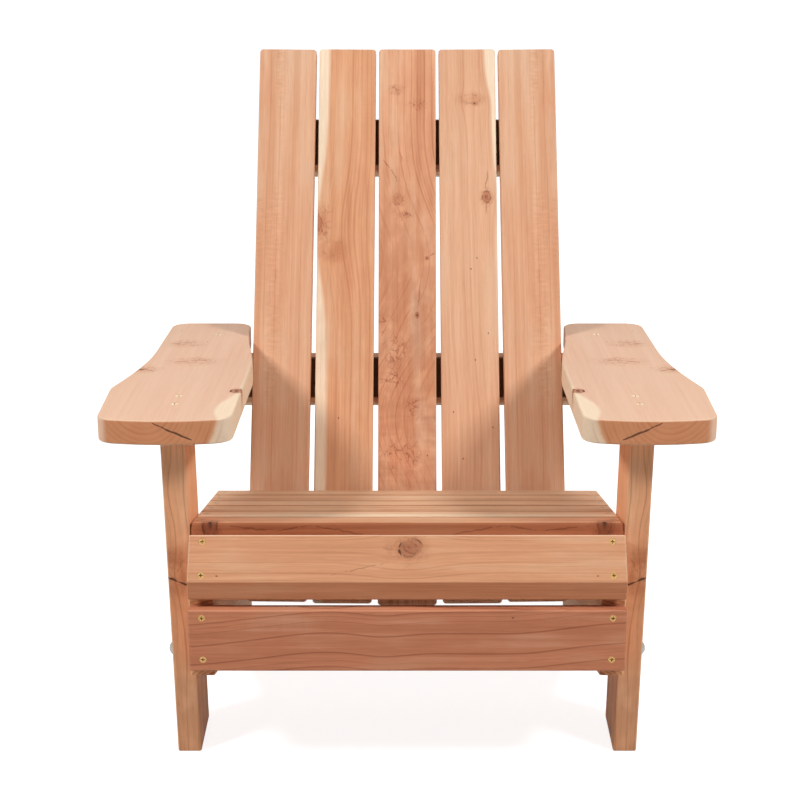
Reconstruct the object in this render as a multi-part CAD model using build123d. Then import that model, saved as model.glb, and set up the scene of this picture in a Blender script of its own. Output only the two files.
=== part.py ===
from build123d import *
from math import cos, radians, sin, tan
import os

os.makedirs("parts", exist_ok=True)

# Lumber
board_t = 32.0  # legs, stringers, arms, braces and cleat
thin_t = 20.0  # seat slats, back slats and front boards
wide_w = 181.0  # stringers, at their front ends
narrow_w = 89.0  # legs and cleat
ease_r = 2.5  # eased edges of every board
corner_r = 5.0  # rounded corners of the back slats

# Legs: the front faces stand at leg_front_y and the tops carry the arms
leg_front_y = -283.2
leg_clear = 564.0  # between the inner faces
leg_front_h = 468.0
arm_slope = 5.4  # the arms fall towards the rear

# Seat
seat_front_h = 345.0
seat_setback = 3.0  # from the legs' front faces to the seat's front edge
seat_slope = 15.8
seat_slat_count = 6
seat_slat_w = 43.5
seat_slat_gap = 5.5
seat_ease_r = 4.0
end_play = 1.0  # between a cross board's end and the leg beside it

# Front boards on the stringers' cut ends
nose_lean = 38.6
nose_face_w = 61.9
nose_bevel = 40.6
nose_gap = 0.6  # below the first seat slat
nose_ahead = 20.4  # face in front of the first seat slat's lower edge
apron_lean = 6.5
apron_w = 84.0
apron_gap = 7.3  # below the nose board's lower edge
apron_setback = 13.8  # apron's back plane against the nose board's lower edge

# Stringers widen towards the rear, where they stand on the floor
stringer_reach = 405.0  # behind the legs' front faces
stringer_foot = 60.0  # flat on the floor
stringer_tail_r = 20.0

# Back
recline = 28.5
back_gap = 17.0  # from the seat's rear edge to the slats, along the seat
slat_count = 5
slat_w = 87.3
slat_gap = 8.2  # at seat height
slat_fan = 0.3  # degrees that each slat leans in from its neighbour
slat_rise = 681.0  # above the seat plane, along the slat
slat_drop = 167.0  # outer slats, below the seat plane
slat_drop_step = 2.6  # each slat nearer the middle is longer by this
brace_ease_r = 5.0
low_brace_w = 70.0
low_brace_l = 660.0
high_brace_w = 85.0
high_brace_l = 444.0
high_brace_up = 491.0  # lower edge, along the slat from the seat plane
cleat_up = 24.0  # lower edge above the outer slats' ends

# Arms, in plan: x from the chair's middle, y back from the legs' front faces
arm_front_y = -45.0
arm_rear_y = 507.0
arm_inner_x = 218.5
arm_front_x = 387.0
arm_flare_x = 395.0
arm_rear_x = 366.0
arm_rear_inner_x = 245.0
arm_flare_y = 113.0
arm_waist_y = 330.0
arm_bend_y = 225.0
arm_front_bow = 12.0
arm_slat_gap = 4.0  # beside the outer back slat
arm_corner_r = 26.0
arm_flare_r = 60.0
arm_flare_dir = (-0.22, 1)  # heading of the outer edge behind the flare

# Countersunk wood screws
screw_head_r = 4.5
screw_shank_r = 2.2
screw_head_h = 2.8
screw_sink = 0.4  # head below the wood
screw_clear = 0.2
screw_bite = 26.0  # length in a thick board
slat_bite = 14.0  # length in a back slat
screw_stagger = 2.8  # seat screws out, front board screws in from the stringer's middle
recess_w = 1.2
recess_l = 5.0
recess_d = 1.6
nose_screw_inset = 9.2
nose_screw_pitch = 44.0
apron_screw_inset = 11.0
apron_screw_pitch = 57.0
arm_screw_setback = 34.0  # behind the leg's front face
arm_screw_pitch = 39.0
rear_screw_x = 288.0
brace_screw_pitch = 36.0
cleat_screw_pitch = 50.0

# Carriage bolts through leg and stringer
bolt_r = 4.0
bolt_head_r = 10.0
bolt_head_h = 6.5
bolt_clear = 0.3
bolt_tail = 3.0
washer_r = 9.0
washer_t = 1.6
nut_flats = 13.0
nut_h = 6.5
low_bolt_back = 18.0  # behind the leg's front face
low_bolt_down = 193.0  # below the seat's front edge
high_bolt_back = 62.0
high_bolt_down = 87.0


def front_dir(lean):
    """Up along a face that leans back from the vertical, in the side view."""
    return Vector(0, sin(radians(lean)), cos(radians(lean)))


def face_plane(point, lean):
    """Plane on a leaning face: local y runs up it and local z points forward."""
    up = front_dir(lean)
    return Plane(origin=point, x_dir=(1, 0, 0), z_dir=(0, -up.Z, up.Y))


def deck_plane(point, slope):
    """Plane on a deck that falls towards the rear: local y runs back along it."""
    return Plane(origin=point, x_dir=(1, 0, 0), z_dir=front_dir(slope))


def at(plane, x, y, z=0.0):
    """The same plane moved to a point given in its own axes."""
    return Plane(origin=plane.from_local_coords((x, y, z)), x_dir=plane.x_dir, z_dir=plane.z_dir)


def facing(origin, direction):
    return Plane(origin=origin, z_dir=direction)


def meet(p, p_dir, q, q_dir):
    """Point where two lines of the side view cross."""
    cross = p_dir.Y * q_dir.Z - p_dir.Z * q_dir.Y
    gap = q - p
    return p + p_dir * ((gap.Y * q_dir.Z - gap.Z * q_dir.Y) / cross)


def block(plane, xs, ys, zs):
    """Box between two limits along each axis of a plane."""
    size = [high - low for low, high in (xs, ys, zs)]
    middle = [(high + low) / 2 for low, high in (xs, ys, zs)]
    return plane * Pos(*middle) * Box(*size)


def eased(board, radius=ease_r):
    return fillet(board.edges(), radius)


def plate(face, thickness):
    """Board cut to an outline, with the edges of both broad faces eased."""
    board = extrude(face, thickness)
    return fillet(board.faces().filter_by(Plane.XY).edges(), ease_r)


def side_board(points, inner):
    """Upright board with a side-view outline, from an inner x out by its thickness."""
    board = extrude(make_face(Polyline(*points, close=True)), board_t)
    return Plane.YZ.offset(inner) * eased(board)


def corners_at(face, points):
    return [face.vertices().sort_by_distance(Vector(*p))[0] for p in points]


def both_sides(places):
    """Places on the right, each followed by its mirror image on the left."""
    pairs = []
    for place in places:
        o = place.origin
        d = place.z_dir
        pairs += [place, facing((-o.X, o.Y, o.Z), (-d.X, d.Y, d.Z))]
    return pairs


def screw_body(length, play=0.0):
    """Turned outline of a countersunk screw, its head's top at z = 0."""
    outline = Polyline(
        (0, play),
        (screw_head_r + play, play),
        (screw_shank_r + play, -screw_head_h),
        (screw_shank_r + play, -length - play),
        (0, -length - play),
        close=True,
    )
    return revolve(Plane.XZ * make_face(outline), Axis.Z)


def screws(places, length):
    slot = Pos(0, 0, -recess_d / 2) * Box(recess_l, recess_w, recess_d)
    body = screw_body(length) - slot - Rot(0, 0, 90) * slot
    return [place * Pos(0, 0, -screw_sink) * body for place in places]


def screw_holes(places, length):
    mouth = Pos(0, 0, -screw_sink / 2) * Cylinder(screw_head_r + screw_clear, 2 * screw_sink)
    hole = Pos(0, 0, -screw_sink) * screw_body(length, screw_clear) + mouth
    return [place * hole for place in places]


def ring(outer, inner, height):
    return Cylinder(outer, height) - Cylinder(inner, height)


def save(name, solids):
    shape = solids[0] if len(solids) == 1 else Compound(solids)
    export_step(shape, f"parts/{name}.step")


def save_pair(name, board):
    save(f"right_{name}", [board])
    save(f"left_{name}", [mirror(board, about=Plane.YZ)])


# Side view: the planes and lines that the frame is cut to
inner_x = leg_clear / 2
rail_x = inner_x - board_t / 2
board_half = inner_x - end_play
seat = deck_plane((0, leg_front_y + seat_setback, seat_front_h), seat_slope)
seat_under = seat.origin - seat.z_dir * thin_t
seat_depth = seat_slat_count * (seat_slat_w + seat_slat_gap) - seat_slat_gap
nose_up = front_dir(nose_lean)
nose = face_plane(seat_under - nose_up * nose_gap, nose_lean)
nose = at(nose, 0, 0, nose_ahead)
nose_rear = nose.origin - nose.z_dir * thin_t
nose_w = nose_face_w + thin_t / tan(radians(nose_bevel))
nose_foot = nose_rear - nose_up * nose_w
apron_up = front_dir(apron_lean)
apron = face_plane(nose_foot - apron_up * apron_gap, apron_lean)
apron = at(apron, 0, 0, thin_t - apron_setback)
apron_rear = apron.origin - apron.z_dir * thin_t
back = face_plane(seat.from_local_coords((0, seat_depth + back_gap, 0)), recline)
back_rear = back.origin - back.z_dir * thin_t
arm_deck = deck_plane((0, leg_front_y, leg_front_h), arm_slope)
brace_top = meet(back_rear, back.y_dir, arm_deck.origin, arm_deck.y_dir)
low_brace_up = (brace_top - back_rear).length - low_brace_w

# Places of the screws and bolts, each on the face that its head lies under
seat_slat_pitch = seat_slat_w + seat_slat_gap
seat_places = [
    at(seat, side * (rail_x + screw_stagger), seat_slat_w / 2 + i * seat_slat_pitch)
    for i in range(seat_slat_count)
    for side in (1, -1)
]
nose_places = [
    at(nose, side * (rail_x - screw_stagger), -nose_screw_inset - i * nose_screw_pitch)
    for i in range(2)
    for side in (1, -1)
]
apron_places = [
    at(apron, side * (rail_x - screw_stagger), -apron_screw_inset - i * apron_screw_pitch)
    for i in range(2)
    for side in (1, -1)
]
arm_brace_y = arm_deck.to_local_coords(brace_top).Y
arm_brace_run = board_t / cos(radians(recline - arm_slope))
leg_mid_x = inner_x + board_t / 2
arm_places = [
    at(arm_deck, leg_mid_x, arm_screw_setback, board_t),
    at(arm_deck, leg_mid_x, arm_screw_setback + arm_screw_pitch, board_t),
    at(arm_deck, rear_screw_x, arm_brace_y + arm_brace_run / 2, board_t),
]
bolt_places = [
    facing((inner_x + board_t, leg_front_y + bolt_back, seat_front_h - bolt_down), (1, 0, 0))
    for bolt_back, bolt_down in ((low_bolt_back, low_bolt_down), (high_bolt_back, high_bolt_down))
]

# Legs: tops cut to the slope of the arms
leg_rear_y = leg_front_y + narrow_w
leg_outline = [
    (leg_front_y, 0),
    (leg_rear_y, 0),
    (leg_rear_y, leg_front_h - narrow_w * tan(radians(arm_slope))),
    (leg_front_y, leg_front_h),
]
bolt_run = 2 * board_t + washer_t + nut_h + bolt_tail
bolt_hole = Pos(0, 0, -bolt_run / 2) * Cylinder(bolt_r + bolt_clear, bolt_run)
bolt_holes = [place * bolt_hole for place in bolt_places]
arm_length = board_t + screw_bite
arm_holes = screw_holes(arm_places, arm_length)
leg = side_board(leg_outline, inner_x) - bolt_holes - arm_holes
save_pair("front_leg", leg)

# Stringers: cut in front for the nose board and the apron, flat on the floor behind
tail = Vector(0, leg_front_y + stringer_reach, 0)
upright = Vector(0, 0, 1)
stringer_low = seat_under - seat.z_dir * wide_w
stringer_line = [
    meet(seat_under, seat.y_dir, nose_rear, nose_up),
    meet(nose_rear, nose_up, apron_rear, apron_up),
    meet(apron_rear, apron_up, stringer_low, seat.y_dir),
    tail - Vector(0, stringer_foot, 0),
    tail,
    meet(seat_under, seat.y_dir, tail, upright),
]
stringer_points = [(p.Y, p.Z) for p in stringer_line]
stringer_face = make_face(Polyline(*stringer_points, close=True))
stringer_face = fillet(corners_at(stringer_face, stringer_points[-1:]), stringer_tail_r)
stringer = Plane.YZ.offset(inner_x - board_t) * plate(stringer_face, board_t)
front_length = thin_t + screw_bite
front_holes = screw_holes(seat_places + nose_places + apron_places, front_length)

# Cleat between the stringers, behind the lower ends of the back slats
cleat_low = cleat_up - slat_drop
cleat_mid = at(back, inner_x, cleat_low + narrow_w / 2, -thin_t - board_t / 2)
cleat_places = [
    facing(cleat_mid.origin + back.y_dir * (side * cleat_screw_pitch / 2), (1, 0, 0)) for side in (1, -1)
]
cleat_length = board_t + screw_bite
cleat_places = both_sides(cleat_places)
cleat_holes = screw_holes(cleat_places, cleat_length)
save_pair("stringer", stringer - bolt_holes - front_holes - cleat_holes)

# Seat slats
for i in range(seat_slat_count):
    near = i * seat_slat_pitch
    slat = block(seat, (-board_half, board_half), (near, near + seat_slat_w), (-thin_t, 0))
    slat = eased(slat, seat_ease_r) - front_holes
    save(f"seat_slat_{i + 1}", [slat])

# Front boards: the nose board's lower edge is bevelled through its thickness
nose_section = Plane(origin=nose.origin, x_dir=nose.y_dir, z_dir=nose.x_dir)
nose_outline = Polyline((0, 0), (-nose_face_w, 0), (-nose_w, -thin_t), (0, -thin_t), close=True)
nose_board = extrude(nose_section * make_face(nose_outline), board_half, both=True)
save("nose_board", [eased(nose_board) - front_holes])
apron_board = block(apron, (-board_half, board_half), (-apron_w, 0), (-thin_t, 0))
save("front_apron", [eased(apron_board) - front_holes])

# Back slats, leaning in towards the middle one
slat_planes = []
middle = (slat_count - 1) / 2
for i in range(slat_count):
    step = i - middle
    slat_planes.append(back * Pos(step * (slat_w + slat_gap), 0, 0) * Rot(0, 0, step * slat_fan))


def brace_places(low, width):
    """Screws through the rear of a brace, two into each slat."""
    places = []
    for slat_plane in slat_planes:
        for side in (1, -1):
            offset = Pos(side * brace_screw_pitch / 2, low + width / 2, -thin_t - board_t)
            places.append(facing((slat_plane * offset).position, -back.z_dir))
    return places


slat_places = brace_places(high_brace_up, high_brace_w)
slat_places += brace_places(low_brace_up, low_brace_w)
slat_places += brace_places(cleat_low, narrow_w)
brace_length = board_t + slat_bite
brace_holes = screw_holes(slat_places, brace_length)
for i, slat_plane in enumerate(slat_planes):
    drop = slat_drop + slat_drop_step * (middle - abs(i - middle))
    outline = Pos(0, (slat_rise - drop) / 2) * RectangleRounded(slat_w, slat_rise + drop, corner_r)
    slat = slat_plane * Pos(0, 0, -thin_t) * plate(outline, thin_t)
    save(f"back_slat_{i + 1}", [slat - brace_holes])

# Braces behind the slats: the lower one is bevelled to carry the arms
half = high_brace_l / 2
high_brace = block(
    back, (-half, half), (high_brace_up, high_brace_up + high_brace_w), (-thin_t - board_t, -thin_t)
)
save("upper_back_brace", [eased(high_brace, brace_ease_r) - brace_holes])
half = low_brace_l / 2
brace_run = board_t * tan(radians(recline - arm_slope))
low_brace = block(
    back,
    (-half, half),
    (low_brace_up, low_brace_up + low_brace_w + brace_run),
    (-thin_t - board_t, -thin_t),
)
above = block(arm_deck, (-low_brace_l, low_brace_l), (0, 2 * arm_brace_y), (0, low_brace_w))
low_brace = eased(low_brace - above, brace_ease_r)
arm_holes += [mirror(hole, about=Plane.YZ) for hole in arm_holes]
save("lower_back_brace", [low_brace - brace_holes - arm_holes])
half = inner_x - board_t
cleat = block(back, (-half, half), (cleat_low, cleat_low + narrow_w), (-thin_t - board_t, -thin_t))
save("back_cleat", [eased(cleat) - brace_holes - cleat_holes])

# Arms: flared on the outside, narrow beside the back slats
back_half = (slat_count * slat_w + (slat_count - 1) * slat_gap) / 2
front_outer = (arm_front_x, arm_front_y + arm_front_bow)
front_inner = (arm_inner_x, arm_front_y + arm_front_bow)
front_middle = ((arm_front_x + arm_inner_x) / 2, arm_front_y)
flare = (arm_flare_x, arm_flare_y)
waist = (arm_rear_x, arm_waist_y)
bend = (arm_inner_x, arm_bend_y)
rear_outer = (arm_rear_x, arm_rear_y)
rear_inner = (arm_rear_inner_x, arm_rear_y)
beside_slat = (back_half + arm_slat_gap, arm_brace_y)
arm_edges = [
    ThreePointArc(front_inner, front_middle, front_outer),
    Line(front_outer, flare),
    Spline(flare, waist, tangents=[arm_flare_dir, (0, 1)]),
    Line(waist, rear_outer),
    Line(rear_outer, rear_inner),
    Line(rear_inner, beside_slat),
    Spline(beside_slat, bend, tangents=[Vector(*beside_slat) - Vector(*rear_inner), (0, -1)]),
    Line(bend, front_inner),
]
arm_face = make_face(arm_edges)
arm_face = fillet(corners_at(arm_face, [front_inner, front_outer, rear_outer, rear_inner]), arm_corner_r)
arm_face = fillet(corners_at(arm_face, [flare]), arm_flare_r)
arm = arm_deck * plate(arm_face, board_t) - arm_holes
save_pair("arm", arm)

# Screws
save("seat_screws", screws(seat_places, front_length))
save("front_board_screws", screws(nose_places + apron_places, front_length))
save("arm_screws", screws(both_sides(arm_places), arm_length))
save("back_slat_screws", screws(slat_places, brace_length))
save("cleat_screws", screws(cleat_places, cleat_length))

# Carriage bolts, with washers and nuts on the inside of the stringers
dome_r = (bolt_head_r**2 + bolt_head_h**2) / (2 * bolt_head_h)
dome_mid = (bolt_head_r / 2, bolt_head_h - dome_r + (dome_r**2 - bolt_head_r**2 / 4) ** 0.5)
bolt_section = [
    Line((0, bolt_head_h), (0, -bolt_run)),
    Line((0, -bolt_run), (bolt_r, -bolt_run)),
    Line((bolt_r, -bolt_run), (bolt_r, 0)),
    Line((bolt_r, 0), (bolt_head_r, 0)),
    ThreePointArc((bolt_head_r, 0), dome_mid, (0, bolt_head_h)),
]
bolt = revolve(Plane.XZ * make_face(bolt_section), Axis.Z)
bore_r = bolt_r + bolt_clear
washer = Pos(0, 0, -2 * board_t - washer_t / 2) * ring(washer_r, bore_r, washer_t)
nut_seat = Pos(0, 0, -2 * board_t - washer_t - nut_h)
nut_outline = RegularPolygon(nut_flats / 2, 6, major_radius=False) - Circle(bore_r)
nut = nut_seat * extrude(nut_outline, nut_h)
bolt_places = both_sides(bolt_places)
save("leg_bolts", [place * bolt for place in bolt_places])
save("bolt_washers", [place * washer for place in bolt_places])
save("bolt_nuts", [place * nut for place in bolt_places])
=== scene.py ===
import math

import bpy
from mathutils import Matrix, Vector


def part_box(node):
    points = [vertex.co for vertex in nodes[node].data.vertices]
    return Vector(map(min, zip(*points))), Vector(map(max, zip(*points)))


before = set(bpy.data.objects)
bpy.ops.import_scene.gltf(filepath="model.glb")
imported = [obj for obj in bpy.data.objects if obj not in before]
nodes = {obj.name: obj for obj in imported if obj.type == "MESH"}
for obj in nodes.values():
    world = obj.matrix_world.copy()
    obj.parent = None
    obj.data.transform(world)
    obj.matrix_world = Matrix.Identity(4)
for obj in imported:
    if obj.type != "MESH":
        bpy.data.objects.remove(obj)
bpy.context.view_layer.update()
print("chair: frame loaded,", len(nodes), "nodes")


# a colour as it looks on screen, 0 to 255, in the linear numbers that a socket takes
def toned(red, green, blue):
    shares = [part / 255 for part in (red, green, blue)]
    linear = [part / 12.92 if part <= 0.04045 else ((part + 0.055) / 1.055) ** 2.4 for part in shares]
    return (*linear, 1.0)


def mm(*sizes):
    return tuple(size / 1000 for size in sizes)


# short ways to place nodes
def feed(tree, socket, value):
    if isinstance(value, bpy.types.NodeSocket):
        tree.links.new(value, socket)
    else:
        socket.default_value = value


def addNode(tree, kind, values, **settings):
    node = tree.nodes.new("ShaderNode" + kind)
    for name, value in settings.items():
        setattr(node, name, value)
    for key, value in values.items():
        feed(tree, node.inputs[key], value)
    return node


def calc(tree, operation, *values):
    return addNode(tree, "Math", dict(enumerate(values)), operation=operation).outputs[0]


def product(tree, first, *others):
    for other in others:
        first = calc(tree, "MULTIPLY", first, other)
    return first


def clamped(tree, value):
    return addNode(tree, "Clamp", {0: value}).outputs[0]


def vect(tree, operation, *values):
    node = addNode(tree, "VectorMath", dict(enumerate(values)), operation=operation)
    measures = ("DOT_PRODUCT", "LENGTH", "DISTANCE")
    return node.outputs["Value" if operation in measures else "Vector"]


def scaled(tree, vector, factor):
    return addNode(tree, "VectorMath", {0: vector, "Scale": factor}, operation="SCALE").outputs[0]


def split(tree, vector):
    return addNode(tree, "SeparateXYZ", {0: vector}).outputs


def joined(tree, x, y, z):
    return addNode(tree, "CombineXYZ", {0: x, 1: y, 2: z}).outputs[0]


def ramp(tree, value, low, high, start=0.0, stop=1.0):
    values = {0: value, 1: low, 2: high, 3: start, 4: stop}
    return addNode(tree, "MapRange", values, interpolation_type="SMOOTHSTEP").outputs[0]


def falling(tree, value, low, high):
    return ramp(tree, value, low, high, 1.0, 0.0)


def blended(tree, factor, first, second, way="MIX"):
    node = addNode(tree, "Mix", {"Factor": factor}, data_type="RGBA", blend_type=way)
    feed(tree, node.inputs[6], first)
    feed(tree, node.inputs[7], second)
    return node.outputs[2]


# the colour times a tint, as far as the factor says
def tinted(tree, factor, colour, tint):
    return blended(tree, factor, colour, blended(tree, 1.0, colour, tint, "MULTIPLY"))


# stretch: waves per metre along, across and through the board
def noise(tree, place, stretch, detail, output="Fac"):
    stretched = vect(tree, "MULTIPLY", place, stretch)
    node = addNode(tree, "TexNoise", {"Vector": stretched, "Scale": 1.0, "Detail": detail})
    return node.outputs[output]


# noise about zero, as a number or as a vector
def swing(tree, place, stretch, detail):
    return calc(tree, "SUBTRACT", noise(tree, place, stretch, detail), 0.5)


def swingVector(tree, place, stretch, detail):
    return vect(tree, "SUBTRACT", noise(tree, place, stretch, detail, "Color"), (0.5, 0.5, 0.5))


# moves each board to a part of the noise of its own
seedStep = (0.37, 1.13, 2.71)


def seeded(tree, place, seed):
    return vect(tree, "ADD", place, scaled(tree, seedStep, seed))


def newGroup(name, inputs, outputs):
    tree = bpy.data.node_groups.new(name, "ShaderNodeTree")
    for side, labels in (("INPUT", inputs), ("OUTPUT", outputs)):
        for label, kind in labels.items():
            tree.interface.new_socket(label, in_out=side, socket_type="NodeSocket" + kind)
    given = tree.nodes.new("NodeGroupInput").outputs
    result = tree.nodes.new("NodeGroupOutput").inputs
    return tree, given, result


def useGroup(tree, group, values):
    return addNode(tree, "Group", values, node_tree=group).outputs


# where a point lies on its board: along, across and through it, from its middle
def makePlaceGroup():
    axes = {"Along": "Vector", "Across": "Vector", "Through": "Vector"}
    tree, given, result = newGroup(
        "boardPlace", {"Middle": "Vector", **axes}, {"Place": "Vector", "Facing": "Vector"}
    )
    coords = addNode(tree, "TexCoord", {}).outputs
    offset = vect(tree, "SUBTRACT", coords["Object"], given["Middle"])
    for label, vector in (("Place", offset), ("Facing", coords["Normal"])):
        parts = [vect(tree, "DOT_PRODUCT", vector, given[axis]) for axis in axes]
        feed(tree, result[label], joined(tree, *parts))
    return tree


# bends the grain round a point: push parts it, sway carries it to one side
def makeSwirlGroup():
    inputs = {
        "Place": "Vector", "Grain": "Vector", "Centre": "Vector", "Reach": "Vector",
        "Push": "Float", "Sway": "Float",
    }
    tree, given, result = newGroup("swirl", inputs, {"Grain": "Vector"})
    away = vect(tree, "SUBTRACT", given["Place"], given["Centre"])
    flat = vect(tree, "MULTIPLY", vect(tree, "DIVIDE", away, given["Reach"]), (1, 1, 0))
    bulge = calc(tree, "EXPONENT", calc(tree, "MULTIPLY", vect(tree, "DOT_PRODUCT", flat, flat), -1.0))
    move = calc(tree, "MULTIPLY_ADD", split(tree, away)["Y"], given["Push"], given["Sway"])
    aside = joined(tree, 0.0, calc(tree, "MULTIPLY", move, bulge), 0.0)
    feed(tree, result["Grain"], vect(tree, "SUBTRACT", given["Grain"], aside))
    return tree


# one knot: rings of its own, a broken rim, a dark heart, and a reddish tint with short wrinkles
knotLook = {
    "depth": 0.35,  # a knot runs far into its board
    "outline": (110, 110, 40),
    "ragged": 0.5,
    "rings": 3.5,
    "ringShade": 0.3,
    "edge": (0.85, 1.05),  # in radii, as are heart and reach
    "heart": (0.1, 0.45),
    "reach": (0.3, 2.2),
    "rim": mm(0.3, 1.7),
    "rimBreaks": (-0.06, 0.1),
    "bend": (60, 60, 60),
    "bendSize": mm(20)[0],
    "wrinkle": (90, 120, 30),
    "wrinkleEdge": 0.06,
    "pieces": (70, 50, 20),  # where the wrinkles break off
    "pieceEdges": (0.4, 0.54),
    "blotch": (30, 45, 20),
    "blotchEdges": (0.3, 0.6),
    "blotchLeast": 0.4,
}


def makeKnotGroup():
    look = knotLook
    marks = {"Knot": "Float", "Dark": "Float", "Halo": "Float"}
    shape = {"Centre": "Vector", "Radius": "Float", "Stretch": "Float"}
    strengths = {"Heart": "Float", "Core": "Float", "Rim": "Float", "Tint": "Float", "Burr": "Float"}
    tree, given, result = newGroup("knot", {"Place": "Vector", **marks, **shape, **strengths}, marks)
    place, radius = given["Place"], given["Radius"]
    away = split(tree, vect(tree, "SUBTRACT", place, given["Centre"]))
    along = calc(tree, "DIVIDE", away["X"], given["Stretch"])
    flat = joined(tree, along, away["Y"], calc(tree, "MULTIPLY", away["Z"], look["depth"]))
    rough = swing(tree, place, look["outline"], 3)
    reach = calc(tree, "DIVIDE", vect(tree, "LENGTH", flat), radius)
    reach = calc(tree, "MULTIPLY_ADD", rough, look["ragged"], reach)

    rings = calc(tree, "PINGPONG", calc(tree, "MULTIPLY", reach, look["rings"]), 1.0)
    rings = calc(tree, "MULTIPLY_ADD", rings, look["ringShade"], 1 - look["ringShade"])
    rings = product(tree, rings, falling(tree, reach, *look["edge"]), given["Core"])
    gap = product(tree, calc(tree, "ABSOLUTE", calc(tree, "SUBTRACT", reach, 1.0)), radius)
    broken = ramp(tree, rough, *look["rimBreaks"])
    rim = product(tree, falling(tree, gap, *look["rim"]), broken, given["Rim"])
    heart = product(tree, falling(tree, reach, *look["heart"]), given["Heart"])
    dark = calc(tree, "MAXIMUM", heart, product(tree, rim, given["Core"]))

    near = falling(tree, reach, *look["reach"])
    bend = scaled(tree, swingVector(tree, place, look["bend"], 2), look["bendSize"])
    wrinkle = swing(tree, vect(tree, "ADD", place, bend), look["wrinkle"], 2)
    wrinkle = falling(tree, calc(tree, "ABSOLUTE", wrinkle), 0.0, look["wrinkleEdge"])
    pieces = ramp(tree, noise(tree, place, look["pieces"], 1), *look["pieceEdges"])
    wrinkle = product(tree, wrinkle, pieces, near, given["Burr"])
    knot = calc(tree, "MAXIMUM", calc(tree, "MAXIMUM", rings, rim), wrinkle)
    blotch = noise(tree, place, look["blotch"], 2)
    uneven = ramp(tree, blotch, *look["blotchEdges"], look["blotchLeast"], 1.0)
    tint = product(tree, near, uneven, given["Tint"])
    for label, value in (("Knot", knot), ("Dark", dark), ("Halo", tint)):
        feed(tree, result[label], calc(tree, "MAXIMUM", given[label], value))
    return tree


# a hairline crack between two points of a board, thin at its ends
crackLook = {"bend": (90, 90, 90), "taper": 0.8, "crisp": 2.5}


def makeCrackGroup():
    look = crackLook
    inputs = {
        "Place": "Vector", "Mark": "Float", "Start": "Vector", "End": "Vector",
        "Width": "Float", "Wander": "Float", "Strength": "Float",
    }
    tree, given, result = newGroup("crack", inputs, {"Mark": "Float"})
    wander = scaled(tree, swingVector(tree, given["Place"], look["bend"], 3), given["Wander"])
    point = vect(tree, "ADD", given["Place"], wander)
    run = vect(tree, "SUBTRACT", given["End"], given["Start"])
    offset = vect(tree, "SUBTRACT", point, given["Start"])
    lengthSquared = vect(tree, "DOT_PRODUCT", run, run)
    share = clamped(tree, calc(tree, "DIVIDE", vect(tree, "DOT_PRODUCT", offset, run), lengthSquared))
    gap = vect(tree, "DISTANCE", offset, scaled(tree, run, share))
    fromMiddle = calc(tree, "MULTIPLY_ADD", share, 2.0, -1.0)
    taper = calc(tree, "SUBTRACT", 1.0, calc(tree, "POWER", fromMiddle, 2.0))
    taper = calc(tree, "MULTIPLY_ADD", taper, look["taper"], 1 - look["taper"])
    line = calc(tree, "SUBTRACT", 1.0, calc(tree, "DIVIDE", gap, product(tree, given["Width"], taper)))
    line = product(tree, clamped(tree, product(tree, line, look["crisp"])), given["Strength"])
    feed(tree, result["Mark"], calc(tree, "MAXIMUM", given["Mark"], line))
    return tree


# distance from the pith, a slowly wandering line that lies beside the board
ringLook = {"slow": (3, 6, 6), "quick": (16, 50, 50), "quickShare": 0.12}


def makeRingGroup():
    look = ringLook
    inputs = {"Place": "Vector", "Grain": "Vector", "Pith": "Vector", "Wander": "Float", "Seed": "Float"}
    tree, given, result = newGroup("growthRings", inputs, {"Radius": "Float"})
    place = seeded(tree, given["Place"], given["Seed"])
    quick = scaled(tree, swingVector(tree, place, look["quick"], 2), look["quickShare"])
    waver = vect(tree, "ADD", swingVector(tree, place, look["slow"], 1), quick)
    waver = scaled(tree, waver, given["Wander"])
    offset = vect(tree, "ADD", vect(tree, "SUBTRACT", given["Grain"], given["Pith"]), waver)
    offset = vect(tree, "MULTIPLY", offset, (0, 1, 1))
    feed(tree, result["Radius"], vect(tree, "LENGTH", offset))
    return tree


# one strong year: a thin dark line at its own distance from the pith, soft on the inner side
bandLook = {"inner": 3.0, "outer": 1.0}  # in widths


def makeBandGroup():
    inputs = {"Lines": "Float", "Radius": "Float", "At": "Float", "Width": "Float", "Strength": "Float"}
    tree, given, result = newGroup("strongYear", inputs, {"Lines": "Float"})
    gap = calc(tree, "DIVIDE", calc(tree, "SUBTRACT", given["Radius"], given["At"]), given["Width"])
    rise = ramp(tree, gap, -bandLook["inner"], 0.0)
    line = product(tree, rise, falling(tree, gap, 0.0, bandLook["outer"]), given["Strength"])
    feed(tree, result["Lines"], calc(tree, "MAXIMUM", given["Lines"], line))
    return tree


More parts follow.
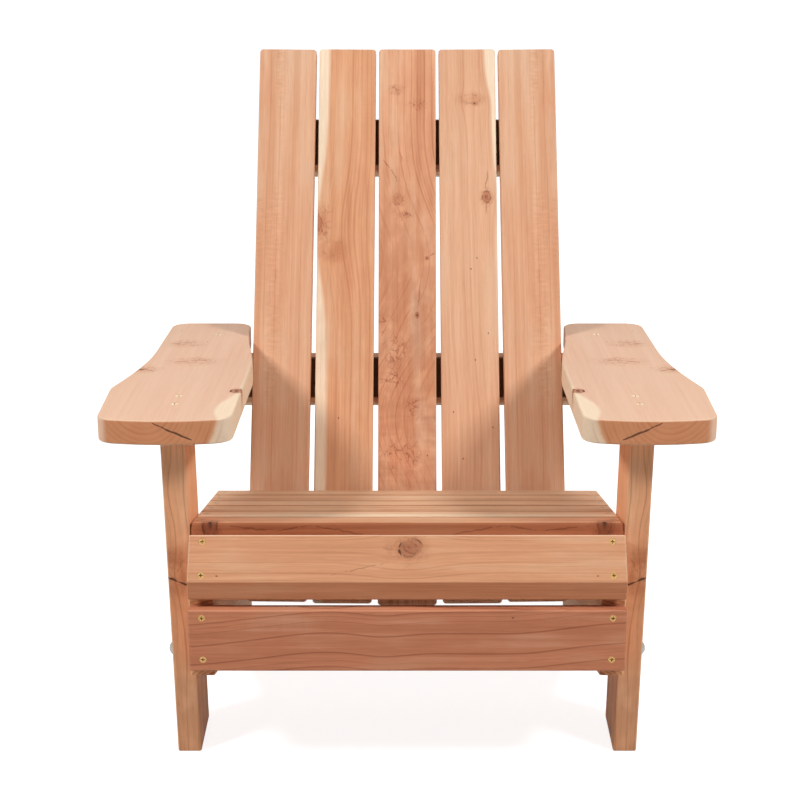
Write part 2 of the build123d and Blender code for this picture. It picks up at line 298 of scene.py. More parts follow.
# cedar: early and late wood of each year, pale sapwood outside, fibre, curl and clouds of colour
cedarLook = {
    "fibre": (40, 1300, 1300),
    "thread": (7, 300, 300),
    "threadShare": 0.9,
    "streak": (3, 70, 70),
    "cloud": (8, 16, 16),
    "cloudShade": 0.3,
    "lightStreak": 0.7,
    "curl": (240, 75, 75),
    "curlPatch": (6, 26, 26),
    "curlPatchEdges": (0.45, 0.68),
    "curlFrom": mm(-10, 20),  # across
    "ripple": (75, 22, 22),
    "rippleUpTo": mm(-150, -50),  # along
    "years": 90,  # how quickly the breadth of the years changes
    "yearSpread": 1.4,
    "yearRise": (0.2, 0.88),  # late wood, as shares of a year
    "yearLeast": 0.2,
    "fade": (4, 18, 18),
    "fadeEdges": (0.3, 0.7),
    "fadeLeast": 0.4,
    "sapEdge": mm(-4, 3),
    "sapWaver": mm(4)[0],
    "sapGrain": 0.3,
    "sapEnds": 0.8,  # how far sapwood stays light on end grain
    "endGrain": (0.45, 0.9),
    "endLines": 3.0,  # the years are stronger on end grain
    "endRings": 0.45,
    "halo": 0.75,
    "knot": 0.8,
    "dark": toned(62, 34, 24),
    # where the painted shade on the lower side begins
    "shadedLowSide": (-0.6, -0.4),
    # the facing and the soft start across of the painted shade on the front
    "shadedFrontFacing": (0.4, 0.7),
    "shadedFrontRamp": mm(3)[0],
    "redden": (0.75, 1.0, 1.2),  # what is darker is redder
    # the painted highlight is kept to the upper edges, which face the light
    "sheenUpperEdge": (-0.2, 0.1),
    "rough": 0.68,
    "roughStreak": 0.25,
    "roughLate": -0.08,
    "lateHeight": 0.5,
    "fibreHeight": 0.7,
    "curlHeight": 2.0,
    "darkHeight": -4.0,
}


def makeWoodGroup():
    look = cedarLook
    inputs = {
        "Place": "Vector", "Facing": "Vector", "Radius": "Float", "Lines": "Float", "Knot": "Float",
        "Dark": "Float", "Halo": "Float", "Ring": "Float", "Line": "Float", "Sap": "Float", "Curl": "Float",
        "Ripple": "Float", "Streak": "Float", "Fibre": "Float", "Wornsheen": "Float", "Seed": "Float",
        "Early": "Color", "Late": "Color", "Pale": "Color", "Knots": "Color", "Ends": "Color",
        "Under": "Color", "Front": "Color", "From": "Float",
    }
    outputs = {"Colour": "Color", "Roughness": "Float", "Height": "Float"}
    tree, given, result = newGroup("cedarWood", inputs, outputs)
    place = seeded(tree, given["Place"], given["Seed"])
    radius = given["Radius"]
    facing = split(tree, given["Facing"])
    square = split(tree, vect(tree, "MULTIPLY", given["Facing"], given["Facing"]))
    spot = split(tree, given["Place"])
    ends = ramp(tree, square["X"], *look["endGrain"])

    # late wood: each year darkens slowly and ends at once, and some years are stronger
    years = joined(tree, calc(tree, "MULTIPLY", radius, look["years"]), given["Seed"], 0.0)
    uneven = noise(tree, years, (1, 1, 1), 2)
    turns = calc(tree, "DIVIDE", radius, given["Ring"])
    turns = calc(tree, "MULTIPLY_ADD", uneven, look["yearSpread"], turns)
    share = calc(tree, "FRACT", turns)
    ending = falling(tree, share, look["yearRise"][1], 1.0)
    late = product(tree, ramp(tree, share, *look["yearRise"]), ending)
    count = calc(tree, "FLOOR", turns)
    year = addNode(tree, "TexWhiteNoise", {"W": count}, noise_dimensions="1D").outputs[0]
    year = calc(tree, "POWER", year, 2.0)
    year = calc(tree, "MULTIPLY_ADD", year, 1 - look["yearLeast"], look["yearLeast"])
    fade = ramp(tree, noise(tree, place, look["fade"], 2), *look["fadeEdges"], look["fadeLeast"], 1.0)
    late = product(tree, late, year, fade, given["Line"])
    late = calc(tree, "MAXIMUM", late, given["Lines"])
    late = product(tree, late, calc(tree, "MULTIPLY_ADD", ends, look["endLines"], 1.0))

    fibre = swing(tree, place, look["fibre"], 3)
    thread = swing(tree, place, look["thread"], 2)
    streak = swing(tree, place, look["streak"], 3)
    cloud = swing(tree, place, look["cloud"], 3)
    patch = ramp(tree, noise(tree, place, look["curlPatch"], 1), *look["curlPatchEdges"])
    curled = product(tree, patch, ramp(tree, spot["Y"], *look["curlFrom"]))
    curl = product(tree, swing(tree, place, look["curl"], 2), curled, given["Curl"])
    rippled = falling(tree, spot["X"], *look["rippleUpTo"])
    ripple = product(tree, swing(tree, place, look["ripple"], 2), rippled)
    curl = calc(tree, "MULTIPLY_ADD", ripple, given["Ripple"], curl)

    drift = product(tree, calc(tree, "ADD", streak, cloud), given["Streak"])
    tone = clamped(tree, calc(tree, "ADD", late, drift))
    light = clamped(tree, product(tree, drift, -look["lightStreak"]))
    colour = blended(tree, tone, blended(tree, light, given["Early"], given["Pale"]), given["Late"])
    edge = calc(tree, "MULTIPLY_ADD", streak, look["sapWaver"], radius)
    sap = ramp(tree, calc(tree, "SUBTRACT", edge, given["Sap"]), *look["sapEdge"])
    pale = blended(tree, product(tree, tone, look["sapGrain"]), given["Pale"], given["Early"])
    colour = blended(tree, sap, colour, pale)
    heartEnds = product(tree, ends, calc(tree, "MULTIPLY_ADD", sap, -look["sapEnds"], 1.0))
    colour = tinted(tree, heartEnds, colour, given["Ends"])
    colour = blended(tree, product(tree, late, ends, look["endRings"]), colour, given["Knots"])
    colour = blended(tree, product(tree, given["Halo"], look["halo"]), colour, given["Late"])
    colour = blended(tree, product(tree, given["Knot"], look["knot"]), colour, given["Knots"])
    # painted shade: the side that faces down the board's width, such as the nose's bevel and the seat slats'
    # front edges, is darkened as if little light reached it
    colour = tinted(tree, falling(tree, facing["Y"], *look["shadedLowSide"]), colour, given["Under"])
    # painted shade on the face toward the front, from the From place across: the braces' fronts deep behind
    # the slats
    start = ramp(tree, spot["Y"], given["From"], calc(tree, "ADD", given["From"], look["shadedFrontRamp"]))
    front = product(tree, ramp(tree, facing["Z"], *look["shadedFrontFacing"]), start)
    colour = tinted(tree, front, colour, given["Front"])

    # fibres and clouds redden the wood a little where they darken it
    shade = product(tree, calc(tree, "MULTIPLY_ADD", thread, look["threadShare"], fibre), given["Fibre"])
    clouds = product(tree, given["Streak"], look["cloudShade"])
    shade = calc(tree, "ADD", calc(tree, "MULTIPLY_ADD", cloud, clouds, shade), curl)
    tints = [calc(tree, "MULTIPLY_ADD", shade, weight, 1.0) for weight in look["redden"]]
    colour = blended(tree, 1.0, colour, joined(tree, *tints), "MULTIPLY")
    # painted highlight on the upper eased edges, with some wear
    eased = product(tree, square["Z"], calc(tree, "SUBTRACT", 1.0, square["Z"]))
    wornsheen = product(tree, eased, ramp(tree, facing["Y"], *look["sheenUpperEdge"]), given["Wornsheen"])
    colour = blended(tree, wornsheen, colour, given["Pale"])
    feed(tree, result["Colour"], blended(tree, given["Dark"], colour, look["dark"]))

    rough = calc(tree, "MULTIPLY_ADD", streak, look["roughStreak"], look["rough"])
    feed(tree, result["Roughness"], calc(tree, "MULTIPLY_ADD", tone, look["roughLate"], rough))
    height = product(tree, fibre, look["fibreHeight"])
    height = calc(tree, "MULTIPLY_ADD", tone, look["lateHeight"], height)
    height = calc(tree, "MULTIPLY_ADD", curl, look["curlHeight"], height)
    feed(tree, result["Height"], calc(tree, "MULTIPLY_ADD", given["Dark"], look["darkHeight"], height))
    return tree


placeGroup = makePlaceGroup()
swirlGroup = makeSwirlGroup()
knotGroup = makeKnotGroup()
crackGroup = makeCrackGroup()
ringGroup = makeRingGroup()
bandGroup = makeBandGroup()
woodGroup = makeWoodGroup()
print("chair: wood nodes ready")


# a board's own axes, from its two largest sets of faces, and the height of the face that shows
nearSquare = 0.05  # at most this far from a right angle
sideways = 0.9  # an axis that runs mostly left to right


def boardAxes(name, outward, edgeOn):
    areas = {}
    for face in nodes[name].data.polygons:
        lead = max(face.normal, key=abs)
        normal = face.normal * math.copysign(1, lead)
        key = tuple(round(part, 2) for part in normal)
        area, kept = areas.get(key, (0.0, normal.copy()))
        areas[key] = (area + face.area, kept)
    ranked = [normal for area, normal in sorted(areas.values(), key=lambda entry: -entry[0])]
    through = ranked[0]
    across = next(normal for normal in ranked if abs(normal.dot(through)) < nearSquare)
    along = across.cross(through).normalized()
    low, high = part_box(name)
    middle = (low + high) / 2
    if max(along, key=abs) < 0:
        along.negate()
    if edgeOn:  # the narrow side is the one that shows
        across, through = through, across
    if outward and middle.x < 0:  # boards on the left are mirror images
        for axis in (across, through):
            if abs(axis.x) > sideways:
                axis.negate()
    if abs(through.x) < sideways and through.z - through.y < 0:  # the far side of a leaning board
        through.negate()
    front = max((corner.co - middle).dot(through) for corner in nodes[name].data.vertices)
    return middle, along, across, through, front


# sizes in mm on the face that shows, along and across from its middle
cedar = {
    "early": toned(229, 175, 139),
    "late": toned(196, 128, 90),
    "pale": toned(250, 224, 194),
    "knots": toned(166, 90, 58),
    "ends": (0.80, 0.68, 0.56, 1.0),  # share of the colour left on end grain
    "under": (1.0, 1.0, 1.0, 1.0),  # share left on the lower side: painted shade
    "front": (1.0, 1.0, 1.0, 1.0),  # share left on the front, from this far across: painted shade
    "from": 0.0,
    "pith": (-170, -60),  # across and through
    "ring": 5.5,
    "line": 0.5,
    "sapAt": None,  # across, where the pale sapwood begins
    "wander": 10,
    "curl": 0.10,
    "ripple": 0.0,
    "streak": 0.9,
    "fibre": 0.34,
    "wornsheen": 1.2,  # paler where the upper edges are eased: painted highlight, with some wear
    "seed": 0.0,
    "bump": 0.2,
    "swirls": [],  # (place), (length, breadth), push, sway
    "knotSpots": [],  # (place), radius, marks
    "bands": [],  # across, width, strength
    "pins": [],  # places of pin knots
    "veins": [],  # (place), (place), width, wander
    "cracks": [],  # the same, but darker
    "outward": False,
    "edgeOn": False,
}

knotMarks = {"stretch": 1.0, "heart": 0.0, "core": 0.0, "rim": 0.0, "tint": 0.0, "burr": 0.0}
pinKnot = {"half": 1.5, "width": 1.3, "wander": 2}
# which mark each kind of thin line draws, and how strongly
thinMarks = {"pins": ("Dark", 0.7), "veins": ("Knot", 0.6), "cracks": ("Dark", 0.85)}
surface = {
    "bumpHeight": mm(0.6)[0],
    "specular": 0.25,
    "noSap": 9.0,  # farther from the pith than any board reaches
}


def boardWood(name, own):
    wood = {**cedar, **own}
    material = bpy.data.materials.new("cedar." + name)
    material.use_nodes = True
    tree = material.node_tree
    middle, along, across, through, front = boardAxes(name, wood["outward"], wood["edgeOn"])
    axes = {"Middle": middle, "Along": along, "Across": across, "Through": through}
    here = useGroup(tree, placeGroup, axes)
    place, grain = here["Place"], here["Place"]
    for spot, reach, push, sway in wood["swirls"]:
        shape = {"Centre": mm(*spot, 0), "Reach": mm(*reach, 1), "Push": push, "Sway": sway / 1000}
        grain = useGroup(tree, swirlGroup, {"Place": place, "Grain": grain, **shape})["Grain"]

    marks = {"Knot": 0.0, "Dark": 0.0, "Halo": 0.0}
    for spot, radius, ownMarks in wood["knotSpots"]:
        shape = {"Centre": (*mm(*spot), front), "Radius": radius / 1000}
        shape |= {key.capitalize(): value for key, value in {**knotMarks, **ownMarks}.items()}
        marks = dict(useGroup(tree, knotGroup, {"Place": place, **marks, **shape}).items())

    # a place may say how far through the board it lies, or else it is on the face that shows
    def spotOn(spot):
        return Vector((*mm(*spot[:2]), spot[2] / 1000 if len(spot) > 2 else front))

    half, *stroke = pinKnot["half"], pinKnot["width"], pinKnot["wander"]
    pins = [((u - half, v), (u + half, v), *stroke) for u, v in wood["pins"]]
    for kind, thin in (("pins", pins), ("veins", wood["veins"]), ("cracks", wood["cracks"])):
        mark, strength = thinMarks[kind]
        for start, end, width, wander in thin:
            shape = {"Start": spotOn(start), "End": spotOn(end), "Width": width / 1000}
            shape |= {"Wander": wander / 1000, "Strength": strength}
            shape |= {"Place": place, "Mark": marks[mark]}
            marks[mark] = useGroup(tree, crackGroup, shape)["Mark"]

    pith = Vector((0, *mm(*wood["pith"])))

    def pithGap(v):
        return (Vector((0, v / 1000, front)) - pith).length

    about = {"Pith": pith, "Wander": wood["wander"] / 1000, "Seed": wood["seed"]}
    radius = useGroup(tree, ringGroup, {"Place": place, "Grain": grain, **about})["Radius"]
    lines = 0.0
    for v, width, strength in wood["bands"]:
        shape = {"At": pithGap(v), "Width": width / 1000, "Strength": strength}
        lines = useGroup(tree, bandGroup, {"Lines": lines, "Radius": radius, **shape})["Lines"]

    direct = ("line", "curl", "ripple", "streak", "fibre", "wornsheen", "seed")
    colours = ("early", "late", "pale", "knots", "ends", "under", "front")
    looks = {key.capitalize(): wood[key] for key in direct + colours}
    looks |= {"Ring": wood["ring"] / 1000, "From": wood["from"] / 1000}
    looks["Sap"] = surface["noSap"] if wood["sapAt"] is None else pithGap(wood["sapAt"])
    given = {"Place": place, "Facing": here["Facing"], "Radius": radius, "Lines": lines, **marks, **looks}
    out = useGroup(tree, woodGroup, given)
    relief = {"Strength": wood["bump"], "Distance": surface["bumpHeight"], "Height": out["Height"]}
    shader = tree.nodes["Principled BSDF"]
    feed(tree, shader.inputs["Base Color"], out["Colour"])
    feed(tree, shader.inputs["Roughness"], out["Roughness"])
    feed(tree, shader.inputs["Normal"], addNode(tree, "Bump", relief).outputs["Normal"])
    shader.inputs["Specular IOR Level"].default_value = surface["specular"]
    nodes[name].data.materials.clear()
    nodes[name].data.materials.append(material)


outerSlat = {
    "seed": 1.0,
    "outward": True,
    "late": toned(202, 130, 88),
    "curl": 0.5,
    "line": 0.35,
    "streak": 1.2,
    "bands": [
        (28, 0.9, 0.5), (20, 0.7, 0.35), (12, 0.9, 0.4), (-4, 0.7, 0.2), (-12, 0.7, 0.25), (-25, 0.7, 0.3),
        (42, 16, 0.28),
    ],
}
backSlats = {
    "back_slat_1": outerSlat,
    "back_slat_2": {
        "seed": 2.0,
        "early": toned(231, 171, 129),
        "late": toned(194, 121, 82),
        "pith": (160, -50),
        "ring": 5.0,
        "line": 0.5,
        "streak": 1.3,
        "sapAt": -29,
        "swirls": [((140, -25), (95, 55), 0.0, -17)],
        "knotSpots": [
            ((150, -38), 10, {"stretch": 2.0, "tint": 1.0, "burr": 1.0}),
            ((150, -42), 5, {"stretch": 2.4, "core": 0.7, "rim": 0.4}),
            ((108, -19), 16, {"tint": 1.0, "burr": 0.3}),
            ((60, 10), 60, {"stretch": 3.0, "tint": 0.25}),
        ],
        "bands": [
            (-18, 0.8, 0.3), (8, 0.9, 0.5), (16, 0.7, 0.3), (22, 0.8, 0.45), (30, 0.7, 0.3), (36, 0.8, 0.4),
        ],
        "pins": [(-150, -8)],
        "veins": [((165, -41), (140, -33), 1.4, 8), ((152, -44), (132, -40), 1.6, 8)],
    },
    "back_slat_3": {
        "seed": 3.0,
        "early": toned(233, 171, 132),
        "late": toned(184, 110, 74),
        "knots": toned(154, 78, 52),
        "ring": 6.5,
        "line": 0.45,
        "wander": 18,
        "ripple": 0.5,
        "streak": 1.6,
        "swirls": [
            ((90, 0), (100, 300), 0.0, 45), ((-150, 0), (100, 300), 0.0, -55), ((8, 15), (40, 25), 0.5, 0),
        ],
        "knotSpots": [
            ((-60, 0), 150, {"stretch": 1.5, "tint": 0.65}),
            ((187, -16), 8, {"tint": 0.9, "core": 0.1, "burr": 1.0}),
            ((163, -6), 10, {"stretch": 0.6, "core": 0.15, "tint": 1.0, "burr": 1.0}),
            ((96, 30), 4, {"heart": 1.0, "core": 0.5, "tint": 1.0, "burr": 0.6}),
            ((8, 15), 3.5, {"stretch": 1.6, "heart": 1.0, "core": 0.6, "tint": 1.0}),
            ((361, -17), 9, {"stretch": 0.7, "tint": 0.4, "burr": 0.9}),
            ((338, 16), 10, {"stretch": 0.6, "tint": 0.5, "burr": 0.9}),
            ((-5, -35), 12, {"tint": 0.3, "burr": 0.8}),
            ((-45, -20), 13, {"stretch": 1.2, "tint": 0.6, "burr": 1.0}),
            ((-88, -22), 13, {"stretch": 0.8, "tint": 0.5, "burr": 1.0}),
            ((-132, 10), 10, {"stretch": 1.4, "tint": 1.0, "burr": 0.8}),
            ((-205, -12), 22, {"stretch": 0.8, "tint": 0.5, "burr": 0.9}),
        ],
        "bands": [
            (-38, 0.8, 0.4), (-27, 0.7, 0.3), (-14, 0.9, 0.5), (-4, 0.7, 0.3), (7, 0.9, 0.5),
            (16, 0.7, 0.35), (26, 0.9, 0.45), (38, 0.9, 0.5), (51, 0.8, 0.4), (64, 0.9, 0.5), (78, 0.8, 0.4),
        ],
        "veins": [
            ((250, -37), (236, -26), 1.6, 6), ((236, -26), (214, -13), 1.4, 6),
            ((100, 34), (104, 42), 1.6, 4), ((60, 20), (20, 17), 1.3, 4), ((265, -12), (245, -6), 1.0, 4),
        ],
        "pins": [(-205, 30)],
    },
    "back_slat_4": {
        "seed": 4.0,
        "early": toned(233, 181, 145),
        "late": toned(203, 138, 101),
        "pith": (-190, -60),
        "line": 0.45,
        "streak": 1.2,
        "sapAt": 43,
        "swirls": [
            ((430, 40), (110, 60), 0.0, -17), ((190, 29), (35, 20), 0.6, 0), ((339, 5), (25, 25), 0.6, 0),
            ((-200, 0), (140, 300), 0.0, 14),
        ],
        "knotSpots": [
            ((345, 5), 15, {"stretch": 0.5, "rim": 0.7, "tint": 0.9, "burr": 0.4}),
            ((342, 7), 9, {"stretch": 0.5, "rim": 0.4}),
            ((338, 11), 6, {"stretch": 0.6, "heart": 0.9, "core": 0.6, "tint": 0.8}),
            (
                (190, 28), 7,
                {"stretch": 1.3, "heart": 0.3, "core": 0.75, "rim": 0.6, "tint": 1.0, "burr": 1.0},
            ),
            ((191, 26), 2.2, {"heart": 1.0}), ((186, 30), 2.0, {"heart": 1.0}),
        ],
        "bands": [(-30, 0.7, 0.3), (-8, 0.7, 0.25), (14, 0.7, 0.25), (33, 0.8, 0.3)],
        "veins": [((203, 26), (232, 31), 1.6, 6), ((178, 28), (164, 27), 1.4, 4)],
        "pins": [(-21, 28), (-141, -26), (-164, 33), (-211, -12), (78, 3), (95, 12), (-62, 8)],
    },
    "back_slat_5": outerSlat,
}
for name, own in backSlats.items():
    boardWood(name, own)
print("chair: back slats dressed")

arms = {
    "seed": 5.0,
    "outward": True,
    "early": toned(235, 193, 164),
    "late": toned(212, 154, 118),
    "knots": toned(158, 74, 30),
    "ends": (0.82, 0.54, 0.37, 1.0),
    "pith": (22, 42),
    "ring": 7.0,
    "line": 0.16,
    "sapAt": -86,
    "swirls": [((-225, -70), (65, 45), 0.0, 24)],
    "streak": 0.5,
    "fibre": 0.12,
    "curl": 0.05,
    "knotSpots": [
        ((136, 22), 20, {"stretch": 0.8, "tint": 0.45, "burr": 0.6}),
        ((28, -4), 24, {"stretch": 0.7, "tint": 0.4, "burr": 0.5}),
        ((-18, 60), 14, {"tint": 0.7, "burr": 0.8}),
        ((-134, -81), 8, {"stretch": 1.3, "heart": 1.0, "core": 1.0, "rim": 1.0, "tint": 1.0, "burr": 0.8}),
    ],
    "veins": [
        ((134, 44), (142, 26), 2.6, 9), ((142, 26), (138, 3), 2.4, 9), ((130, 35), (133, 12), 2.0, 9),
        ((19, 26), (31, 4), 2.6, 9), ((31, 4), (36, -29), 2.6, 9), ((17, 12), (21, -14), 2.0, 9),
        ((41, -3), (43, -20), 1.8, 9), ((-20, 56), (-30, 44), 2.4, 6), ((-14, 64), (-8, 48), 2.4, 6),
    ],
    "cracks": [((-16, 72), (-20, 56), 2.4, 6), ((-276, 9, 13), (-274, -45, -12), 1.9, 3)],
    "pins": [(220, 40), (-11, 34), (150, -8), (144, 21), (140, 15), (28, -7)],
}
for name in ("left_arm", "right_arm"):
    boardWood(name, arms)
print("chair: arms dressed")

legs = {
    "seed": 6.0,
    "outward": True,
    "edgeOn": True,
    "early": toned(253, 188, 141),
    "late": toned(186, 110, 70),
    "pith": (-120, -60),
    "ring": 5.0,
    "line": 0.22,
    "wander": 4,
    "streak": 0.7,
    "swirls": [((156, 0), (50, 60), 0.3, 6), ((35, 0), (45, 60), 0.4, 4), ((-90, 2), (70, 60), 0.6, 0)],
    "knotSpots": [
        ((-110, 0), 110, {"stretch": 1.5, "tint": 0.4}),
        ((40, 4), 26, {"stretch": 1.2, "tint": 0.9, "burr": 0.3}),
    ],
    "bands": [(0.6, 0.4, 0.5), (-13.5, 0.4, 0.5), (6, 0.4, 0.2), (-6, 0.4, 0.2), (12, 0.4, 0.25)],
    "veins": [((62, -6), (38, 4), 1.4, 8), ((10, -14), (-20, -8), 1.2, 6)],
    "cracks": [((33, 16), (27, 3), 2.2, 4), ((27, 3), (20, -15), 2.0, 4)],
}
for name in ("left_front_leg", "right_front_leg"):
    boardWood(name, legs)
print("chair: legs dressed")

noseBoard = {
    "seed": 7.0,
    "early": toned(218, 158, 118),
    "late": toned(182, 112, 76),
    "knots": toned(150, 92, 68),
    # painted shade on the lower bevel, reddened as if by warm light bounced off the apron
    "under": (0.84, 0.66, 0.58, 1.0),
    "pith": (-210, -80),
    "ring": 4.2,
    "line": 0.45,
    "wander": 8,
    # a strong painted highlight along the nose's top edge
    "wornsheen": 2.4,
    "swirls": [((0, 18), (55, 32), 0.75, 0)],
    "knotSpots": [
        ((1, 18), 11, {"stretch": 1.1, "core": 0.6, "rim": 0.5, "tint": 1.0, "burr": 0.6}),
        ((7, 22), 10, {"stretch": 1.2, "core": 0.4, "rim": 0.8, "tint": 0.9, "burr": 0.8}),
        ((0, 19), 16, {"stretch": 1.1, "rim": 0.35, "tint": 0.4, "burr": 0.6}),
        ((-4, 10), 2.6, {"heart": 1.0}), ((2, 20), 5, {"heart": 0.3}),
    ],
    "bands": [(-12, 0.8, 0.4), (2, 0.8, 0.35), (30, 0.8, 0.35)],
    "veins": [((-106, -18), (-12, 4), 0.8, 4), ((-34, 20), (-16, 16), 1.2, 5)],
    "cracks": [((-8, 27), (-11, 19), 1.5, 6), ((-11, 19), (-8, 10), 1.7, 6), ((12, 30), (19, 25), 1.3, 6)],
    "pins": [(-243, -17), (243, -17)],
}
frontApron = {
    "seed": 8.0,
    "early": toned(208, 134, 98),
    "late": toned(156, 86, 60),
    "pith": (-280, -90),
    "ring": 9.0,
    "line": 0.3,
    "wander": 11,
    # a faint painted highlight along the apron's top edge
    "wornsheen": 0.4,
    "streak": 0.8,
    "swirls": [
        ((-310, 0), (120, 120), 0.0, -19), ((-110, 0), (50, 120), 0.0, 3), ((-30, 0), (35, 120), 0.0, -4),
        ((310, 0), (120, 120), 0.0, 16), ((150, 10), (60, 120), 0.0, -3),
    ],
    "bands": [
        (40, 0.8, 0.6), (34, 0.6, 0.3), (27, 0.7, 0.45), (11, 0.9, 0.75), (-3, 0.6, 0.25), (-16, 0.9, 0.7),
        (-27, 0.6, 0.25), (-36, 0.8, 0.55), (3, 12, 0.2), (24, 10, 0.2),
    ],
    "pins": [(135, 32)],
}
boardWood("nose_board", noseBoard)
boardWood("front_apron", frontApron)
print("chair: front boards dressed")

seatSlat = {
    "early": toned(237, 195, 158),
    "late": toned(180, 118, 82),
    # painted shade on the seat slats' front edges, which lie under and between other boards
    "under": (0.6, 0.42, 0.34, 1.0),
    "ring": 6.0,
    "line": 0.7,
    "streak": 1.3,
    "wander": 12,
}
frontKnot = {"heart": 1.0, "core": 0.6, "rim": 0.7, "tint": 1.0, "burr": 1.0}
frontVein = [(-238, -21.5, 5), (-170, -21.5, -1), (-125, -21.5, 6), (-57, -21.5, -6)]
seatSlats = {
    "seat_slat_1": {
        "early": toned(224, 169, 131),
        "late": toned(174, 108, 72),
        "knots": toned(112, 66, 46),
        # painted shade on the front edge, with darker heartwood too
        "under": (0.57, 0.36, 0.27, 1.0),
        "pith": (-60, 30),
        "bands": [(-8, 1.6, 0.5)],
        "knotSpots": [((-256, -20), 10, frontKnot), ((256, -20), 10, frontKnot)],
        "veins": [
            ((side * start[0], *start[1:]), (side * end[0], *end[1:]), 1.4, 5)
            for side in (1, -1) for start, end in zip(frontVein, frontVein[1:])
        ],
    },
    "seat_slat_2": {"pith": (160, -40), "sapAt": -7},
    "seat_slat_3": {"bands": [(-15, 3.0, 0.7), (8, 1.6, 0.5)]},
    "seat_slat_4": {"pith": (150, -30), "bands": [(12, 1.6, 0.6)]},
    "seat_slat_5": {"bands": [(-12, 2.0, 0.8)]},
    "seat_slat_6": {"bands": [(10, 2.0, 0.7)]},
}
for count, (name, own) in enumerate(seatSlats.items()):
    boardWood(name, {**seatSlat, "seed": 9.0 + count, **own})
print("chair: seat dressed")

frameBoard = {
    "early": toned(226, 168, 130),
    "late": toned(188, 126, 92),
    "ring": 5.0,
    "line": 0.6,
    "streak": 1.0,
}
# painted shade: the braces' fronts are dark behind the slats, down to a pale sapwood strip that stands for
# light caught on the eased lower edge, a painted highlight
braceShadeAndHighlight = {"front": (0.14, 0.12, 0.08, 1.0), "pith": (200, -50)}
sideRail = {"outward": True, "seed": 20.0, "early": toned(250, 194, 152), "late": toned(212, 146, 108)}
frameBoards = {
    "left_stringer": sideRail,
    "right_stringer": sideRail,
    # a pale sapwood strip along each brace's lower edge: painted highlight where the eased edge catches
    # light
    "upper_back_brace": {"seed": 21.0, **braceShadeAndHighlight, "from": -33, "sapAt": -31},
    "lower_back_brace": {"seed": 22.0, **braceShadeAndHighlight, "from": -30, "sapAt": -28},
    "back_cleat": {"seed": 23.0},
}
for name, own in frameBoards.items():
    boardWood(name, {**frameBoard, **own})
print("chair: frame boards dressed")


# plated metal, mottled, with painted shade where the driver's recess and the edges lie deep
platedLook = {
    "mottle": (700, 700, 700),
    "mottleEdges": (0.35, 0.65),
    "mottleRough": 0.3,
    "depth": mm(2.2)[0],
    "recessShadeEdges": (0.35, 0.85),
    "metallic": 0.85,
}


def platedMetal(name, finish):
    look = platedLook
    material = bpy.data.materials.new(finish["finish"])
    material.use_nodes = True
    tree = material.node_tree
    mottle = noise(tree, addNode(tree, "TexCoord", {}).outputs["Object"], look["mottle"], 3)
    hollow = addNode(tree, "AmbientOcclusion", {"Distance": look["depth"]}, samples=8, only_local=True)
    # painted shade from ambient occlusion: dark in the driver's recess and along deep edges
    recessShade = falling(tree, hollow.outputs["AO"], *look["recessShadeEdges"])
    colour = blended(tree, ramp(tree, mottle, *look["mottleEdges"]), finish["tone"], finish["tint"])
    shader = tree.nodes["Principled BSDF"]
    feed(tree, shader.inputs["Base Color"], blended(tree, recessShade, colour, finish["recessShade"]))
    rough = calc(tree, "MULTIPLY_ADD", mottle, look["mottleRough"], finish["rough"])
    feed(tree, shader.inputs["Roughness"], rough)
    shader.inputs["Metallic"].default_value = look["metallic"]
    nodes[name].data.materials.clear()
    nodes[name].data.materials.append(material)


yellowZinc = {
    "finish": "yellowZinc",
    "tone": toned(210, 166, 104),
    "tint": toned(174, 136, 86),
    "recessShade": toned(40, 30, 16),
    "rough": 0.3,
}
rubbedZinc = {
    "finish": "rubbedZinc",
    "tone": toned(250, 238, 208),
    "tint": toned(232, 214, 176),
    "recessShade": toned(150, 122, 86),
    "rough": 0.3,
}
brightZinc = {
    "finish": "brightZinc",
    "tone": toned(178, 178, 174),
    "tint": toned(150, 152, 150),
    "recessShade": toned(60, 56, 50),
    "rough": 0.25,
}
for name in ("front_board_screws", "back_slat_screws", "cleat_screws"):
    platedMetal(name, yellowZinc)
for name in ("seat_screws", "arm_screws"):
    platedMetal(name, rubbedZinc)
for name in ("leg_bolts", "bolt_washers", "bolt_nuts"):
    platedMetal(name, brightZinc)
print("chair: screws and bolts dressed")


# camera at the photograph's place and angle
view = {"place": mm(0, -2127.2, 1217), "tilt": 69.18, "lens": 70.74, "sensor": 36, "shift": -0.0091}
camera = bpy.data.objects.new("camera", bpy.data.cameras.new("camera"))
bpy.context.scene.collection.objects.link(camera)
camera.location = view["place"]
camera.rotation_euler = (math.radians(view["tilt"]), 0, 0)
camera.data.lens = view["lens"]
camera.data.sensor_width = view["sensor"]
camera.data.shift_x = view["shift"]
bpy.context.scene.camera = camera

# soft light from both sides, a little from behind, and a world that is brighter overhead
lights = {
    "sides": {"place": (1.75, -1.15, 2.25), "size": 0.55, "power": 39.5},
    "back": {"place": (0, 2.6, 2.0), "size": 1.6, "power": 12},
    "aim": (0, 0, 0.4),
    "level": 0.02,
    "overhead": 0.26,
}


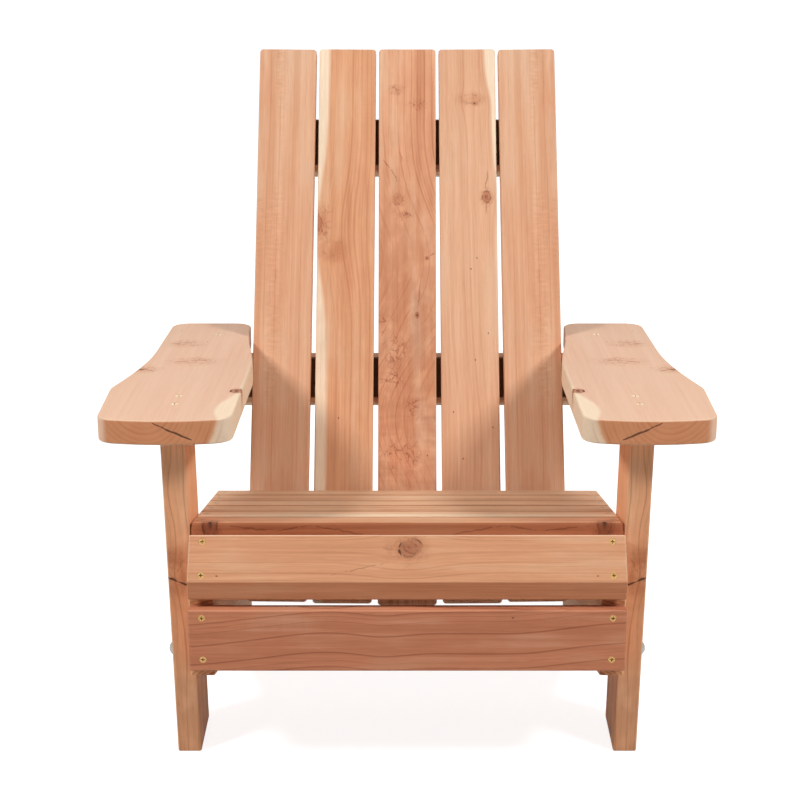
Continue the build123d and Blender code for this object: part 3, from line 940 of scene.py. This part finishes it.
def softLight(name, place, size, power):
    lamp = bpy.data.objects.new(name, bpy.data.lights.new(name, "AREA"))
    bpy.context.scene.collection.objects.link(lamp)
    lamp.location = place
    aim = Vector(lights["aim"]) - Vector(place)
    lamp.rotation_euler = aim.to_track_quat("-Z", "Y").to_euler()
    lamp.data.size = size
    lamp.data.energy = power


side = lights["sides"]
for label, sign in (("right", 1), ("left", -1)):
    x, y, z = side["place"]
    softLight(label + ".light", (sign * x, y, z), side["size"], side["power"])
softLight("back.light", **lights["back"])


# 1 for the eye and for reflections, 0 for the light that falls on the chair
def seenWhite(tree):
    path = addNode(tree, "LightPath", {}).outputs
    return calc(tree, "MAXIMUM", path["Is Camera Ray"], path["Is Glossy Ray"])


# white round the chair where it is seen, and the even light for the rest
white = (1, 1, 1, 1)
world = bpy.data.worlds.new("studio")
bpy.context.scene.world = world
world.use_nodes = True
tree = world.node_tree
rise = split(tree, addNode(tree, "TexCoord", {}).outputs["Generated"])["Z"]
sky = calc(tree, "MULTIPLY_ADD", calc(tree, "MAXIMUM", rise, 0.0), lights["overhead"], lights["level"])
background = tree.nodes["Background"].inputs
feed(tree, background["Color"], white)
feed(tree, background["Strength"], calc(tree, "MAXIMUM", seenWhite(tree), sky))

floorLook = {
    "half": 12.0,
    "white": 0.6,
    "rough": 0.9,
    "fadeOut": (0.8, 3.5),  # from the chair, in metres
    "glow": (0.85, 0.9),  # near and far
}
half = floorLook["half"]
corners = [(-half, -half, 0), (half, -half, 0), (half, half, 0), (-half, half, 0)]
mesh = bpy.data.meshes.new("floor")
mesh.from_pydata(corners, [], [(0, 1, 2, 3)])
floor = bpy.data.objects.new("floor", mesh)
bpy.context.scene.collection.objects.link(floor)
material = bpy.data.materials.new("floor")
material.use_nodes = True
tree = material.node_tree
shader = tree.nodes["Principled BSDF"].inputs
feed(tree, shader["Base Color"], (floorLook["white"],) * 3 + (1,))
feed(tree, shader["Roughness"], floorLook["rough"])
feed(tree, shader["Emission Color"], white)
away = vect(tree, "LENGTH", addNode(tree, "TexCoord", {}).outputs["Object"])
glow = ramp(tree, away, *floorLook["fadeOut"], *floorLook["glow"])
feed(tree, shader["Emission Strength"], product(tree, seenWhite(tree), glow))
mesh.materials.append(material)

bpy.context.scene.view_settings.view_transform = "Standard"
print("chair: studio ready")
